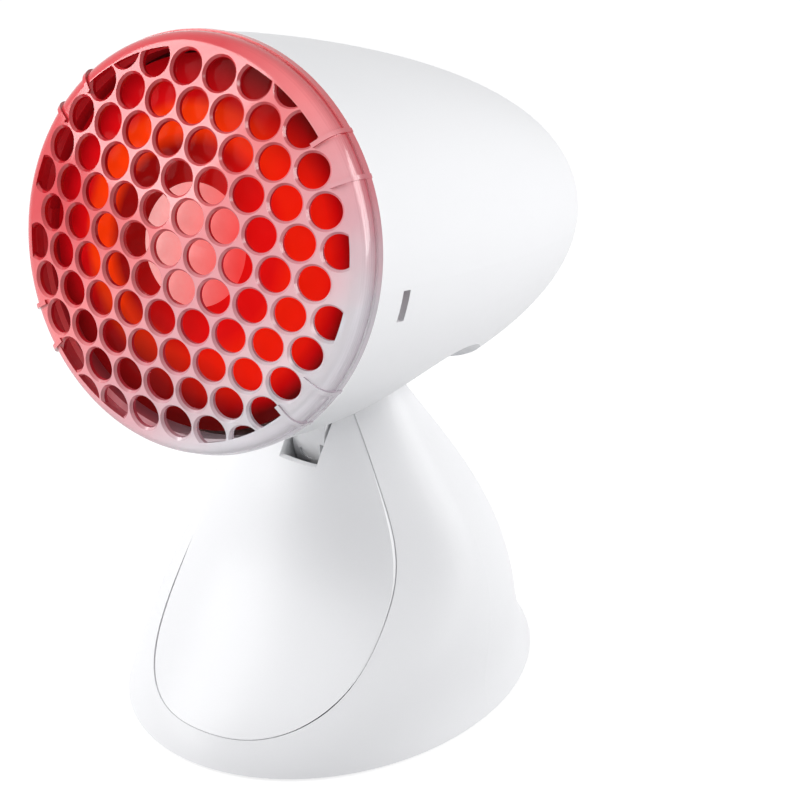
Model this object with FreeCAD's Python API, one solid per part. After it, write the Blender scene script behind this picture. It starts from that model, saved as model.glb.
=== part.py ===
import math
import os

import FreeCAD
import Part

# Infrared heat therapy lamp. Millimetres, +Z up, front at -Y, origin on the floor under the stand.

# ---------------------------------------------------------------- stand outline
crown_height = 124.5
brow_drop = 6.5
shoulder_drop = 10.0
waist_drop = 23.0
brow_height = crown_height - brow_drop
shoulder_height = brow_height - shoulder_drop
waist_height = shoulder_height - waist_drop
foot_height = 2.0
housing_lift = 1.0
base_half_width = 69.5
base_front = 84.5
base_back = 84.0
rim_height = 12.0
rim_half_width = 67.0
rim_front = 78.0
rim_back = 77.0
skirt_height = 30.0
skirt_half_width = 66.0
skirt_front = 59.0
skirt_back = 67.0
belly_height = 55.0
belly_half_width = 59.0
belly_front = 38.5
belly_back = 58.0
waist_half_width = 43.0
waist_front = 24.3
waist_back = 43.0
shoulder_half_width = 27.0
shoulder_front = 8.0
shoulder_back = 27.5
brow_half_width = 18.0
brow_front = 1.0
brow_back = 20.5
crown_half_width = 7.0
crown_front = -4.0
crown_back = 15.0
oval_points = 16
stand_wall = 2.4

# front cover outline, seen from the front
cover_half_width = 44.0
cover_widest = 44.0
cover_bottom = 10.8
cover_squareness = 2.9
cover_neck_half_width = 14.5
cover_neck_height = shoulder_height
cover_taper_power = 1.9
seam_gap = 0.35
seam_turn = 0.34

# ---------------------------------------------------------------- hinge
pivot_y = 8.0
pivot_drop = 27.5
pivot_z = crown_height - pivot_drop
tilt_rest = 14.65
pin_radius = 3.0
running_clearance = 0.05
knuckle_radius = 21.0
knuckle_half_width = 6.8
arm_front = 11.0
arm_back = 14.0
mark_radius = 3.4
mark_width = 1.0
mark_depth = 0.6
mark_x = -0.7
mark_angle = 29.0
washer_thickness = 1.2
washer_radius = 6.5
disc_radius = 17.5
disc_thickness = 2.0
disc_pocket_drop = 6.0
notch_count = 5
notch_step = 10.0
notch_radius = 1.2
gap = 0.3
ear_thickness = 2.0
ear_radius = 9.0
web_thickness = 2.0
web_front = 12.0
web_back = 24.0
pin_head_radius = 4.6
pin_head_thickness = 1.8
clip_thickness = 0.8
clip_radius = 5.2
groove_depth = 0.7
groove_slack = 0.2
clip_opening = 70.0
pin_tail = 1.0
spring_thickness = 0.5
spring_width = 2.6
spring_tip_radius = 0.9
spring_reach = 7.0
spring_drop = 6.0

# slot in the stand's top for the hinge neck
slot_half_width = 8.0
slot_sill_drop = 6.0
slot_sill = pivot_z - slot_sill_drop
slot_back_rise = 1.0
slot_back_sill = pivot_z + slot_back_rise
cheek_thickness = 1.4
cheek_drop = 5.0
cheek_back = 2.0

# diaphragm in the housing that carries the hinge bracket
shelf_drop = 35.0
shelf_top = pivot_z - shelf_drop
shelf_thickness = 3.0
shelf_front = 15.0
lead_hole_radius = 2.2
lead_hole_y = 36.0

# cover tabs
tab_x = 20.0
tab_width = 11.0
tab_thickness = 4.0
tab_overlap = 10.0

# base
plate_thickness = 2.5
plate_clearance = 0.4
boss_radius = 4.6
boss_height = 15.0
boss_angle = 35.0
boss_inset = 5.5
foot_radius = 7.5
foot_inset = 15.0
foot_angle = 52.0
pad_radius = 18.0
inlet_height = 19.0
inlet_boss_radius = 7.5
inlet_radius = 4.6
inlet_bore_radius = 3.2
inlet_flange_radius = 6.4
inlet_flange_thickness = 1.4
inlet_neck = 9.0

# screws
screw_radius = 1.5
screw_head_radius = 2.9
screw_head_height = 1.9
screw_fit = 0.05
screw_bite = 8.0

# terminal block
block_width = 24.0
block_depth = 15.0
block_height = 11.0
block_front = 42.5
terminal_radius = 2.4
terminal_rise = 0.8
terminal_spacing = 12.0

# ---------------------------------------------------------------- head (axis values run back from the grille's crown)
pivot_back = 116.8
axis_drop = 71.8
shade_radius = 68.0
shade_length = 232.8
shade_nose_power = 1.79
shade_flank_power = 2.42
shade_wall = 2.4
scoop_radius = 63.9
scoop_ahead = 7.65
scoop_below = 24.6
window_s = 37.5
window_length = 4.4
window_height = 10.4
window_drop = 6.8

# grille
grille_lip = 0.6
grille_radius = shade_radius - grille_lip
grille_depth = 20.0
grille_wall = 2.2
dome_radius = 215.0
grille_shoulder = 6.0
grille_lip_depth = 3.0
hole_pitch = 13.0
hole_radius = 5.5
bevel_radius = 6.3
bevel_depth = 1.0
bevel_overrun = 0.1
hole_field_margin = 4.6
hole_field_radius = grille_radius - hole_field_margin
hole_rings = int(hole_field_radius / hole_pitch + 0.25)
rib_angle = 36.7
rib_half_spread = 6.5
rib_width = 1.5
rib_overlap = 2.8
rib_inner_radius = hole_field_radius - rib_overlap
rib_rise = 0.9
spigot_reach = 7.0
spigot_thickness = 1.8
spigot_clearance = 0.35
latch_width = 10.0
latch_reach = 21.5
latch_clearance = 0.6

# bulb
bulb_clearance = 5.1
bulb_radius = shade_radius - shade_wall - bulb_clearance
bulb_front = 20.5
lens_bulge = 6.0
lens_rim = 5.0
glass_wall = 2.5
bowl_depth = 65.0
bowl_power = 0.72
bulb_neck_radius = 20.0
bulb_skirt_length = 23.0
bulb_skirt_radius = 16.5
cap_radius = 13.1
cap_length = 25.0
cap_wall = 0.6
thread_pitch = 3.6
thread_depth = 0.7
insulator_length = 2.4
contact_radius = 4.5
contact_length = 1.6
coil_radius = 1.6
coil_wire = 0.45
coil_half_length = 11.0
coil_s = 66.0
support_wire = 0.6
support_gap = 0.1
stem_radius = 6.0
stem_disc_radius = 15.0
stem_disc_thickness = 1.5
stem_disc_behind_coil = 12.0

# lampholder and its bracket
holder_radius = 22.0
holder_length = 46.0
holder_step_radius = 18.0
holder_step_length = 12.0
holder_seat = 3.0
shell_wall = 0.8
shell_clearance = 0.3
contact_strip_thickness = 0.8
contact_strip_width = 7.0
bracket_thickness = 1.5
bracket_rim = 3.0
bracket_from_front = 33.0
bracket_trim = 28.0
bracket_arm_width = 11.0
holder_flange_radius = 28.0
holder_flange_thickness = 4.0
holder_screw_radius = 25.1
post_radius = 4.2
post_margin = 8.4
shield_radius = 27.0
shield_bore = 15.5
shield_thickness = 1.0
shield_lip = 6.0

# leads
lead_radius = 1.1
lead_spacing = 2.8
channel_half_width = 3.0
channel_near = 7.0
channel_far = 11.0
bend_radius = 4.0
lead_clearance = 0.6

big = 400.0


def vec(x, y, z):
    return FreeCAD.Vector(x, y, z)


def box(x0, x1, y0, y1, z0, z1):
    return Part.makeBox(x1 - x0, y1 - y0, z1 - z0, vec(x0, y0, z0))


def rod(radius, start, end):
    axis = end.sub(start)
    return Part.makeCylinder(radius, axis.Length, start, axis)


def tube(outer, inner, start, end):
    axis = end.sub(start)
    unit = vec(axis.x, axis.y, axis.z).normalize()
    bore = rod(inner, start.sub(unit), end.add(unit))
    return rod(outer, start, end).cut(bore)


def save(name, shape):
    shape.exportStep("parts/" + name + ".step")


def group(solids):
    return Part.makeCompound(solids)


def spun(points_wire):
    """Solid of revolution about the head axis from a closed wire in the XY plane."""
    return Part.Face(points_wire).revolve(vec(0, 0, 0), vec(0, 1, 0), 360)


def polygon(points):
    corners = [vec(x, y, z) for x, y, z in points]
    return Part.makePolygon(corners + [corners[0]])


def to_head(shape):
    """Turn a shape drawn along the head axis into its place on the stand."""
    placed = shape.copy()
    placed.translate(vec(0, -pivot_back, axis_drop))
    placed.rotate(vec(0, 0, 0), vec(1, 0, 0), -tilt_rest)
    placed.translate(vec(0, pivot_y, pivot_z))
    return placed


def screw(head_seat, direction, bite, countersunk=False):
    """Screw whose head bears at head_seat and whose shank runs along direction."""
    unit = vec(direction.x, direction.y, direction.z).normalize()
    tip = head_seat.add(unit * bite)
    shank = rod(screw_radius, head_seat, tip)
    if countersunk:
        head = Part.makeCone(screw_head_radius, screw_radius, screw_head_height, head_seat, unit)
        return shank.fuse(head)
    back = head_seat.sub(unit * screw_head_height)
    head = rod(screw_head_radius, back, head_seat)
    return shank.fuse(head).removeSplitter()


# ---------------------------------------------------------------- stand shells
def stand_body(inset, drop, turn_away=0.0):
    """Closed body inside the stand's outer face by inset, its crown lower by drop.

    turn_away flattens the flanks behind the cover's seam, so that the housing meets the cover at a crease.
    """
    stations = [
        (housing_lift, base_half_width, base_front, base_back),
        (rim_height, rim_half_width, rim_front, rim_back),
        (skirt_height, skirt_half_width, skirt_front, skirt_back),
        (belly_height, belly_half_width, belly_front, belly_back),
        (waist_height, waist_half_width, waist_front, waist_back),
        (shoulder_height, shoulder_half_width, shoulder_front, shoulder_back),
        (brow_height, brow_half_width, brow_front, brow_back),
        (crown_height, crown_half_width, crown_front, crown_back),
    ]
    spacing = [z for z, a, f, b in stations]
    sizes = [vec(a - inset, (f + b) / 2 - inset, (b - f) / 2) for z, a, f, b in stations]
    heights = [vec(0, 0, z) for z in spacing]
    heights[-1].z -= drop
    flanks = []
    for z, a, f, b in stations:
        share = math.sin(math.pi * max(z - rim_height, 0) / (brow_height - rim_height)) ** 2
        if z > brow_height:
            share = 0
        bulge = share * turn_away
        flanks.append(vec(a * bulge, z, (f + b) / 2 * bulge))
    size_curve = Part.BSplineCurve()
    size_curve.interpolate(Points=sizes, Parameters=spacing)
    flank_curve = Part.BSplineCurve()
    flank_curve.interpolate(Points=flanks, Parameters=spacing)
    height_curve = Part.BSplineCurve()
    height_curve.interpolate(Points=heights, Parameters=spacing)
    round_points = []
    bend_points = []
    for k in range(oval_points):
        turn = 2 * math.pi * k / oval_points
        front = max(-math.sin(turn), 0)
        bend = (2 * front ** 2 - 1) * front ** 2
        round_points.append(vec(math.cos(turn), math.sin(turn), 0))
        bend_points.append(vec(math.cos(turn) * bend, math.sin(turn) * bend, math.cos(turn)))
    steps = list(range(oval_points + 1))
    round_curve = Part.BSplineCurve()
    round_curve.interpolate(Points=round_points, Parameters=steps, PeriodicFlag=True)
    bend_curve = Part.BSplineCurve()
    bend_curve.interpolate(Points=bend_points, Parameters=steps, PeriodicFlag=True)
    poles = []
    for spot, bend in zip(round_curve.getPoles(), bend_curve.getPoles()):
        row = []
        for size, flank, height in zip(size_curve.getPoles(), flank_curve.getPoles(), height_curve.getPoles()):
            x = spot.x * size.x + bend.x * flank.x
            y = size.z + spot.y * size.y + bend.y * flank.z
            row.append(vec(x, y, height.z))
        poles.append(row)
    surface = Part.BSplineSurface()
    surface.buildFromPolesMultsKnots(
        poles, round_curve.getMultiplicities(), size_curve.getMultiplicities(),
        round_curve.getKnots(), size_curve.getKnots(), True, False,
        round_curve.Degree, size_curve.Degree)
    side = surface.toShape()
    rings = [edge for edge in side.Edges if edge.isClosed() and edge.BoundBox.ZLength < 0.001]
    shell = Part.makeShell([side] + [Part.Face(Part.Wire(ring)) for ring in rings])
    shell.sewShape()
    solid = Part.makeSolid(shell)
    if solid.Volume < 0:
        solid.reverse()
    return solid


def cover_prism(shrink):
    """Block that cuts the egg-shaped cover out of the stand's front, smaller all round by shrink."""
    half_width = cover_half_width - shrink
    bottom = cover_bottom + shrink
    neck = cover_neck_half_width - shrink
    steps = 7
    right = []
    for k in range(steps + 1):
        turn = math.radians(90.0 * k / steps)
        x = half_width * math.sin(turn) ** (2 / cover_squareness)
        z = cover_widest - (cover_widest - bottom) * max(math.cos(turn), 0) ** (2 / cover_squareness)
        right.append(vec(x, -big, z))
    for k in range(1, steps + 1):
        share = k / steps
        x = neck + (half_width - neck) * (1 - share ** cover_taper_power)
        z = cover_widest + (cover_neck_height - cover_widest) * share
        right.append(vec(x, -big, z))
    left = [vec(-p.x, p.y, p.z) for p in reversed(right[1:])]
    curve = Part.BSplineCurve()
    curve.interpolate(left + right)
    top = 2 * crown_height
    edges = [
        curve.toShape(),
        Part.makeLine(right[-1], vec(neck, -big, top)),
        Part.makeLine(vec(neck, -big, top), vec(-neck, -big, top)),
        Part.makeLine(vec(-neck, -big, top), left[0]),
    ]
    return Part.Face(Part.Wire(edges)).extrude(vec(0, big + pivot_y - shrink, 0))


slot_front = box(-slot_half_width, slot_half_width, -big, pivot_y, slot_sill, big)
slot_rear = box(-slot_half_width, slot_half_width, 0, big, slot_back_sill, big)


def slotted_shell(turn_away):
    shell = stand_body(0, 0, turn_away).cut(stand_body(stand_wall, stand_wall, turn_away))
    return shell.cut(slot_front).cut(slot_rear)


cover_shell = slotted_shell(0).common(cover_prism(seam_gap))
back_housing = slotted_shell(seam_turn).cut(cover_prism(0))
cover_middle = stand_body(stand_wall / 2, stand_wall / 2)
housing_middle = stand_body(stand_wall / 2, stand_wall / 2, seam_turn)

# diaphragm and base bosses of the housing
shelf = box(-big, big, -shelf_front, big, shelf_top - shelf_thickness, shelf_top)
shelf = shelf.common(housing_middle)
plate_bottom = foot_height
plate_top = plate_bottom + plate_thickness


def base_spot(angle, inset):
    turn = math.radians(angle)
    x = (rim_half_width - inset) * math.cos(turn)
    y = (rim_back - rim_front) / 2 + ((rim_front + rim_back) / 2 - inset) * math.sin(turn)
    return x, y


boss_spots = [base_spot(a, boss_inset) for a in (boss_angle, 180 - boss_angle, 180 + boss_angle, -boss_angle)]
bosses = []
for x, y in boss_spots:
    bosses.append(rod(boss_radius, vec(x, y, plate_top), vec(x, y, plate_top + boss_height)).common(housing_middle))

# round boss on the back that gives the inlet bush a flat seat
inlet_seat_y = rim_back
inlet_boss = rod(inlet_boss_radius, vec(0, inlet_seat_y - 2 * inlet_boss_radius, inlet_height),
                 vec(0, inlet_seat_y, inlet_height))
inlet_hollow = stand_body(stand_wall, stand_wall)
inlet_boss = inlet_boss.cut(inlet_hollow)
back_housing = back_housing.fuse([shelf, inlet_boss] + bosses)

drills = [rod(screw_radius + screw_fit, vec(x, y, plate_top - 1), vec(x, y, plate_top + screw_bite))
          for x, y in boss_spots]
drills.append(rod(inlet_radius + screw_fit, vec(0, rim_back / 2, inlet_height), vec(0, big, inlet_height)))
for side in (-1, 1):
    x = side * terminal_spacing / 2
    drills.append(rod(lead_hole_radius, vec(x, lead_hole_y, belly_height), vec(x, lead_hole_y, waist_height)))

# cover tabs lie on the diaphragm's front edge
tabs = []
for side in (-1, 1):
    x = side * tab_x
    tab = box(x - tab_width / 2, x + tab_width / 2, -big, -shelf_front + tab_overlap,
              shelf_top, shelf_top + tab_thickness)
    tabs.append(tab.common(cover_middle))

# cheeks line the cover's slot on both sides
cheeks = []
for side in (-1, 1):
    x0 = min(side * slot_half_width, side * (slot_half_width + cheek_thickness))
    x1 = max(side * slot_half_width, side * (slot_half_width + cheek_thickness))
    cheek = box(x0, x1, -big, -cheek_back, slot_sill - cheek_drop, crown_height)
    cheeks.append(cheek.common(cover_middle))
front_cover = cover_shell.fuse(tabs + cheeks)

tab_screw_y = -shelf_front + tab_overlap / 2
cover_screws = []
for side in (-1, 1):
    seat = vec(side * tab_x, tab_screw_y, shelf_top - shelf_thickness)
    up = vec(0, 0, 1)
    cover_screws.append(screw(seat, up, shelf_thickness + tab_thickness - gap))
    hole = rod(screw_radius + screw_fit, seat.sub(up), seat.add(up * (shelf_thickness + tab_thickness + 1)))
    drills.append(hole)
    front_cover = front_cover.cut(hole)

# ---------------------------------------------------------------- base plate, feet, screws, inlet
base_plate = box(-big, big, -big, big, plate_bottom, plate_top)
base_plate = base_plate.common(stand_body(stand_wall + plate_clearance, 0))
base_plate = base_plate.fuse(rod(pad_radius, vec(0, 0, 0), vec(0, 0, plate_bottom)))
base_screws = []
for x, y in boss_spots:
    seat = vec(x, y, plate_bottom)
    up = vec(0, 0, 1)
    base_screws.append(screw(seat, up, plate_thickness + screw_bite - gap, True))
    hole = rod(screw_radius + screw_fit, seat.sub(up), seat.add(up * (plate_thickness + 1)))
    sink = Part.makeCone(screw_head_radius + screw_fit, screw_radius + screw_fit, screw_head_height, seat, up)
    base_plate = base_plate.cut(hole).cut(sink)

feet = []
for angle in (foot_angle, 180 - foot_angle, 180 + foot_angle, -foot_angle):
    x, y = base_spot(angle, foot_inset)
    feet.append(rod(foot_radius, vec(x, y, 0), vec(x, y, foot_height)))

# inlet bush in the housing's round boss
bush_neck = rod(inlet_radius, vec(0, inlet_seat_y - inlet_neck, inlet_height), vec(0, inlet_seat_y, inlet_height))
bush_flange = rod(inlet_flange_radius, vec(0, inlet_seat_y, inlet_height),
                  vec(0, inlet_seat_y + inlet_flange_thickness, inlet_height))
bush_bore = rod(inlet_bore_radius, vec(0, 0, inlet_height), vec(0, big, inlet_height))
cord_inlet_bush = bush_neck.fuse(bush_flange).cut(bush_bore)

# terminal block
block_y = block_front + block_depth / 2
terminal_block = box(-block_width / 2, block_width / 2, block_front, block_front + block_depth,
                     plate_top, plate_top + block_height)
terminal_screws = []
for side in (-1, 1):
    top = plate_top + block_height
    x = side * terminal_spacing / 2
    well = rod(terminal_radius + screw_fit, vec(x, block_y, top - block_height / 2), vec(x, block_y, big))
    terminal_block = terminal_block.cut(well)
    stub = rod(terminal_radius, vec(x, block_y, top - block_height / 2), vec(x, block_y, top + terminal_rise))
    nick = box(x - big, x + big, block_y - 0.4, block_y + 0.4, top + terminal_rise / 2 - 0.2, big)
    terminal_screws.append(stub.cut(nick))

# ---------------------------------------------------------------- hinge in the stand
ear_inner = knuckle_half_width + washer_thickness + gap
ear_outer = ear_inner + ear_thickness
web_top = shelf_top + web_thickness
ears = []
for side in (-1, 1):
    x0 = min(side * ear_inner, side * ear_outer)
    x1 = max(side * ear_inner, side * ear_outer)
    blade = box(x0, x1, pivot_y - ear_radius, pivot_y + ear_radius, shelf_top, pivot_z)
    crown = rod(ear_radius, vec(x0, pivot_y, pivot_z), vec(x1, pivot_y, pivot_z))
    ears.append(blade.fuse(crown))
web = box(-ear_outer, ear_outer, pivot_y - web_front, pivot_y + web_back, shelf_top, web_top)
hinge_bracket = web.fuse(ears)
pin_way = rod(pin_radius + running_clearance, vec(-big, pivot_y, pivot_z), vec(big, pivot_y, pivot_z))
hinge_bracket = hinge_bracket.cut(pin_way).removeSplitter()

spring_x = knuckle_half_width - disc_thickness + gap + spring_width / 2
bracket_screw_spots = [
    (0, pivot_y - web_front + 5, 0),
    (-spring_x, pivot_y + web_back - 6, 0),
    (spring_x, pivot_y + web_back - 6, spring_thickness),
]
hinge_screws = []
for x, y, packing in bracket_screw_spots:
    down = vec(0, 0, -1)
    seat = vec(x, y, web_top + packing)
    hinge_screws.append(screw(seat, down, packing + web_thickness + shelf_thickness))
    hole = rod(screw_radius + screw_fit, seat.sub(down), seat.add(down * (screw_bite + packing)))
    hinge_bracket = hinge_bracket.cut(hole)
    drills.append(hole)
back_housing = back_housing.cut(drills)

# pin with a head at the left, a groove and a clip at the right
pin_left = vec(-ear_outer - pin_head_thickness, pivot_y, pivot_z)
pin_seat = vec(-ear_outer, pivot_y, pivot_z)
groove_start = ear_outer + gap
groove_end = groove_start + clip_thickness + groove_slack
pin_right = vec(groove_end + pin_tail, pivot_y, pivot_z)
groove = tube(pin_radius + 1, pin_radius - groove_depth,
              vec(groove_start, pivot_y, pivot_z), vec(groove_end, pivot_y, pivot_z))
hinge_pin = rod(pin_radius, pin_seat, pin_right).fuse(rod(pin_head_radius, pin_left, pin_seat))
hinge_pin = hinge_pin.cut(groove).removeSplitter()
clip_start = groove_start + groove_slack / 2
pin_clip = tube(clip_radius, pin_radius - groove_depth + screw_fit,
                vec(clip_start, pivot_y, pivot_z), vec(clip_start + clip_thickness, pivot_y, pivot_z))
half_opening = math.radians(clip_opening / 2)
wedge_reach = 2 * clip_radius
wedge = Part.Face(polygon([
    (clip_start - 1, pivot_y, pivot_z),
    (clip_start - 1, pivot_y - wedge_reach * math.sin(half_opening), pivot_z + wedge_reach * math.cos(half_opening)),
    (clip_start - 1, pivot_y + wedge_reach * math.sin(half_opening), pivot_z + wedge_reach * math.cos(half_opening)),
])).extrude(vec(clip_thickness + 2, 0, 0))
pin_clip = pin_clip.cut(wedge)

thrust_washers = []
for side in (-1, 1):
    start = side * (knuckle_half_width + gap / 2)
    end = side * (knuckle_half_width + gap / 2 + washer_thickness)
    thrust_washers.append(tube(washer_radius, pin_radius + running_clearance,
                               vec(start, pivot_y, pivot_z), vec(end, pivot_y, pivot_z)))

# leaf spring that drops into the detent disc's notches
foot_back = pivot_y + web_back - 2
foot_front = foot_back - 9
tip_z = pivot_z - disc_radius
leaf_z = tip_z - spring_tip_radius - spring_thickness / 2
leaf_foot = web_top + spring_thickness / 2
leaf_points = [
    vec(0, foot_front, leaf_foot),
    vec(0, pivot_y + spring_reach, (leaf_foot + leaf_z) / 2 + 1),
    vec(0, pivot_y, leaf_z),
    vec(0, pivot_y - spring_reach, leaf_z - spring_drop),
]
leaf_curve = Part.BSplineCurve()
leaf_curve.interpolate(Points=leaf_points, InitialTangent=vec(0, -1, 0), FinalTangent=vec(0, -1, -1))


def leaf_side(offset):
    points = []
    steps = 10
    for k in range(steps + 1):
        t = leaf_curve.FirstParameter + (leaf_curve.LastParameter - leaf_curve.FirstParameter) * k / steps
        along = leaf_curve.tangent(t)[0]
        points.append(leaf_curve.value(t).add(vec(0, -along.z, along.y) * offset))
    curve = Part.BSplineCurve()
    curve.interpolate(points)
    return curve.toShape(), points[0], points[-1]


upper, upper_start, upper_end = leaf_side(spring_thickness / 2)
lower, lower_start, lower_end = leaf_side(-spring_thickness / 2)
leaf_outline = Part.Wire([upper, Part.makeLine(upper_end, lower_end), lower, Part.makeLine(lower_start, upper_start)])
leaf = Part.Face(leaf_outline).extrude(vec(spring_width, 0, 0))
leaf.translate(vec(spring_x - spring_width / 2, 0, 0))
leaf = leaf.cut(box(-big, big, -big, big, 0, web_top))
leaf_foot_box = box(spring_x - spring_width / 2, spring_x + spring_width / 2, foot_front - spring_thickness,
                    foot_back, web_top, web_top + spring_thickness)
bump = rod(spring_tip_radius, vec(spring_x - spring_width / 2, pivot_y, tip_z),
           vec(spring_x + spring_width / 2, pivot_y, tip_z))
neck_block = box(spring_x - spring_width / 2, spring_x + spring_width / 2,
                 pivot_y - spring_tip_radius, pivot_y + spring_tip_radius, leaf_z, tip_z)
detent_spring = leaf_foot_box.fuse([leaf, bump, neck_block])
foot_hole = rod(screw_radius + screw_fit, vec(spring_x, pivot_y + web_back - 6, web_top - 1),
                vec(spring_x, pivot_y + web_back - 6, web_top + 2))
detent_spring = detent_spring.cut(foot_hole)

# ---------------------------------------------------------------- shade
def bullet(inset, start):
    """Body of the shade inside its outer face by inset, from start back to the nose."""
    radius = shade_radius - inset
    length = shade_length - inset
    first = math.asin((start / length) ** (shade_nose_power / 2))
    steps = 12
    points = []
    for k in range(steps):
        turn = first + (math.pi / 2 - first) * k / steps
        r = radius * math.cos(turn) ** (2 / shade_flank_power)
        s = length * math.sin(turn) ** (2 / shade_nose_power)
        points.append(vec(r, s, 0))
    points.append(vec(0, length, 0))
    curve = Part.BSplineCurve()
    curve.interpolate(Points=points, InitialTangent=points[1].sub(points[0]), FinalTangent=vec(-1, 0, 0))
    edges = [
        Part.makeLine(vec(0, start, 0), points[0]),
        curve.toShape(),
        Part.makeLine(points[-1], vec(0, start, 0)),
    ]
    return spun(Part.Wire(edges))


def bullet_radius(s, inset):
    return (shade_radius - inset) * (1 - (s / (shade_length - inset)) ** shade_nose_power) ** (1 / shade_flank_power)


scoop_s = pivot_back - scoop_ahead
scoop_v = -axis_drop - scoop_below


def scoop(growth):
    return rod(scoop_radius + growth, vec(-big, scoop_s, scoop_v), vec(big, scoop_s, scoop_v))


mouth_s = grille_depth + gap
shade_outer = bullet(0, mouth_s).cut(scoop(0))
shade_inner = bullet(shade_wall, mouth_s - 1).cut(scoop(shade_wall))
shade = shade_outer.cut(shade_inner)

# lampholder bracket posts
bracket_s = bulb_front + lens_rim + bowl_depth + bulb_skirt_length + bracket_from_front
post_orbit = bullet_radius(bracket_s, shade_wall) - post_margin
post_spots = []
for angle in (90, 210, 330):
    turn = math.radians(angle)
    post_spots.append((post_orbit * math.cos(turn), post_orbit * math.sin(turn)))
posts = []
for x, v in post_spots:
    post = rod(post_radius, vec(x, bracket_s + bracket_thickness, v), vec(x, shade_length, v))
    posts.append(post.common(bullet(shade_wall / 2, mouth_s)))
shade = shade.fuse(posts)
for x, v in post_spots:
    shade = shade.cut(rod(screw_radius + screw_fit, vec(x, bracket_s, v), vec(x, bracket_s + screw_bite, v)))

# latch windows
windows = []
for side in (-1, 1):
    x0 = min(side * shade_radius / 2, side * 2 * shade_radius)
    x1 = max(side * shade_radius / 2, side * 2 * shade_radius)
    windows.append(box(x0, x1, window_s - window_length / 2, window_s + window_length / 2,
                       -window_drop - window_height / 2, -window_drop + window_height / 2))
shade = shade.cut(windows)

# ---------------------------------------------------------------- neck
arm = box(-knuckle_half_width, knuckle_half_width, pivot_back - arm_front, pivot_back + arm_back,
          -axis_drop, -axis_drop / 4)
arm = arm.common(scoop(0))
pivot_left = vec(-knuckle_half_width, pivot_back, -axis_drop)
pivot_right = vec(knuckle_half_width, pivot_back, -axis_drop)
neck = arm.fuse(rod(knuckle_radius, pivot_left, pivot_right))
disc_pocket = rod(disc_radius + 2 * gap, vec(knuckle_half_width - disc_thickness, pivot_back, -axis_drop),
                  vec(big, pivot_back, -axis_drop))
below = box(knuckle_half_width - disc_thickness, big, pivot_back - 2 * knuckle_radius,
            pivot_back + 2 * knuckle_radius, -axis_drop - 2 * knuckle_radius, -axis_drop - disc_pocket_drop)
neck = neck.cut([disc_pocket, below])
neck = neck.cut(rod(pin_radius + running_clearance, vec(-big, pivot_back, -axis_drop),
                    vec(big, pivot_back, -axis_drop)))
channel = box(-channel_half_width, channel_half_width, pivot_back + channel_near, pivot_back + channel_far,
              -axis_drop - knuckle_radius - 1, 0)
neck = neck.cut(channel)

# arc-shaped mark sunk in the knuckle's front
mark = tube(mark_radius, mark_radius - mark_width, vec(mark_x, -knuckle_radius - 1, 0),
            vec(mark_x, mark_depth - knuckle_radius, 0))
mark = mark.common(box(-big, mark_x + mark_radius / 4, -big, 0, -big, mark_radius / 4))
mark.rotate(vec(0, 0, 0), vec(1, 0, 0), mark_angle)
mark.translate(vec(0, pivot_back, -axis_drop))
neck = neck.cut(mark)
ceiling_v = scoop_v + math.sqrt(scoop_radius ** 2 - scoop_ahead ** 2)
lead_port = box(-channel_half_width, channel_half_width, pivot_back + channel_near, pivot_back + channel_far,
                -axis_drop, ceiling_v + 3 * shade_wall)
shade = shade.cut(lead_port)

neck_screw_s = pivot_back - arm_front / 2
neck_screws = []
ceiling_inner_v = scoop_v + scoop_radius + shade_wall
for side in (-1, 1):
    seat = vec(side * knuckle_half_width / 2, neck_screw_s, ceiling_inner_v)
    down = vec(0, 0, -1)
    neck_screws.append(screw(seat, down, shade_wall + screw_bite))
    hole = rod(screw_radius + screw_fit, seat.sub(down), seat.add(down * (shade_wall + screw_bite + 1)))
    shade = shade.cut(hole)
    neck = neck.cut(hole)

# detent disc, its notches turned to face the floor at rest
disc = rod(disc_radius, vec(knuckle_half_width - disc_thickness, pivot_y, pivot_z),
           vec(knuckle_half_width, pivot_y, pivot_z))
disc = disc.cut(pin_way)
for k in range(notch_count):
    turn = math.radians((k - (notch_count - 1) / 2) * notch_step)
    y = pivot_y + disc_radius * math.sin(turn)
    z = pivot_z - disc_radius * math.cos(turn)
    disc = disc.cut(rod(notch_radius, vec(0, y, z), vec(2 * knuckle_half_width, y, z)))
detent_disc = disc

# ---------------------------------------------------------------- grille
def grille_body(growth):
    """Domed cap outside the grille's face by growth, closed flat at the grille's back."""
    dome = dome_radius + growth
    corner = grille_shoulder + growth
    side = grille_radius + growth
    centre_r = grille_radius - grille_shoulder
    centre_s = dome_radius - math.sqrt((dome_radius - grille_shoulder) ** 2 - centre_r ** 2)
    lean = math.asin(centre_r / (dome_radius - grille_shoulder))
    steps = 6
    points = []
    for k in range(steps + 1):
        turn = lean * k / steps
        points.append(vec(dome * math.sin(turn), dome_radius - dome * math.cos(turn), 0))
    dome_curve = Part.BSplineCurve()
    dome_curve.interpolate(Points=points, InitialTangent=vec(1, 0, 0),
                           FinalTangent=vec(math.cos(lean), math.sin(lean), 0))
    half = (lean + math.pi / 2) / 2
    corner_mid = vec(centre_r + corner * math.sin(half), centre_s - corner * math.cos(half), 0)
    wall_top = vec(side, centre_s, 0)
    edges = [
        dome_curve.toShape(),
        Part.Arc(points[-1], corner_mid, wall_top).toShape(),
        Part.makeLine(wall_top, vec(side, grille_depth, 0)),
        Part.makeLine(vec(side, grille_depth, 0), vec(0, grille_depth, 0)),
        Part.makeLine(vec(0, grille_depth, 0), points[0]),
    ]
    return spun(Part.Wire(edges))


def dome_depth(r):
    return dome_radius - math.sqrt(dome_radius ** 2 - r ** 2)


grille_hollow = grille_body(-grille_wall)
grille = grille_body(0).cut(grille_hollow)
lip = tube(grille_radius + grille_lip, grille_radius - grille_wall / 2,
           vec(0, grille_depth - grille_lip_depth, 0), vec(0, grille_depth, 0))

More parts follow.
